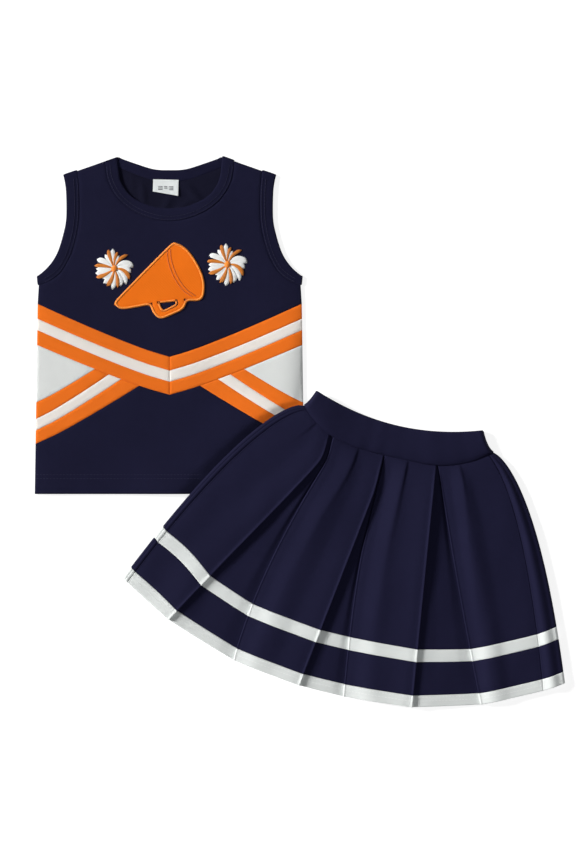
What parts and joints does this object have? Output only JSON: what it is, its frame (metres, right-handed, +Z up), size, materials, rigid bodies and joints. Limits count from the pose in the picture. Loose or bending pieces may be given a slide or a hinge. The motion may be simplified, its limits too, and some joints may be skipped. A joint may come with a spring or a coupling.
{
  "type": "child's cheer uniform",
  "caption": "Sleeveless knit cheer top with a striped chevron front, laid flat with its box-pleated skirt over one corner of the hem.",
  "frame": {"origin": "centre of the whole set's bounding box, on the table it lies on", "axes": "+Z up from the table, +Y from the top's hem towards its neck, +X to the top's own left side, where the skirt lies"},
  "size_m": [0.5136, 0.5346, 0.0102],
  "materials": {
    "knit_navy": "matte cotton knit, fine ribs",
    "knit_orange": "matte cotton knit",
    "knit_white": "matte cotton knit",
    "skirt_navy": "smooth double knit with a slight sheen",
    "skirt_white": "smooth white knit",
    "twill_orange": "twill applique cloth",
    "thread_orange": "satin embroidery thread",
    "thread_white": "satin embroidery thread",
    "label_satin": "woven satin label",
    "elastic": "ribbed woven elastic"
  },
  "bodies": {
    "top": {"armhole_band_left": "knit_navy", "armhole_band_right": "knit_navy", "back_panel": "knit_navy", "chevron_lower_left": "knit_orange", "chevron_lower_right": "knit_orange", "chevron_middle_left": "knit_white", "chevron_middle_right": "knit_white", "chevron_upper_left": "knit_orange", "chevron_upper_right": "knit_orange", "crossed_band_lower_left": "knit_orange", "crossed_band_lower_right": "knit_orange", "crossed_band_middle_left": "knit_white", "crossed_band_middle_right": "knit_white", "crossed_band_upper_left": "knit_orange", "crossed_band_upper_right": "knit_orange", "front_lower_panel": "knit_navy", "front_yoke": "knit_navy", "megaphone_bell_stitching": "thread_orange", "megaphone_edge_stitching": "thread_orange", "megaphone_handle_stitching": "thread_orange", "megaphone_patch": "twill_orange", "neckband": "knit_navy", "pompom_orange_left": "thread_orange", "pompom_orange_right": "thread_orange", "pompom_white_left": "thread_white", "pompom_white_right": "thread_white", "side_insert_left": "knit_white", "side_insert_right": "knit_white"},
    "skirt": {"skirt_back_hem_band": "skirt_white", "skirt_back_lower_panel": "skirt_navy", "skirt_back_ribbon_stripe": "skirt_white", "skirt_back_upper_panel": "skirt_navy", "skirt_front_hem_band": "skirt_white", "skirt_front_lower_panel": "skirt_navy", "skirt_front_ribbon_stripe": "skirt_white", "skirt_front_upper_panel": "skirt_navy", "waist_elastic": "elastic", "waistband_casing": "skirt_navy"},
    "size_label": {"size_label": "label_satin"}
  },
  "joints": [
    {"name": "skirt_lift", "type": "slide", "parent": "top", "child": "skirt", "axis": [0, 0, 1], "range_m": [0, 0.08]},
    {"name": "label_flip", "type": "hinge", "parent": "top", "child": "size_label", "pos_m": [-0.12983, 0.24408, 0.0019], "axis": [-0.9997, 0.0243, 0], "range_deg": [0, 150]}
  ]
}
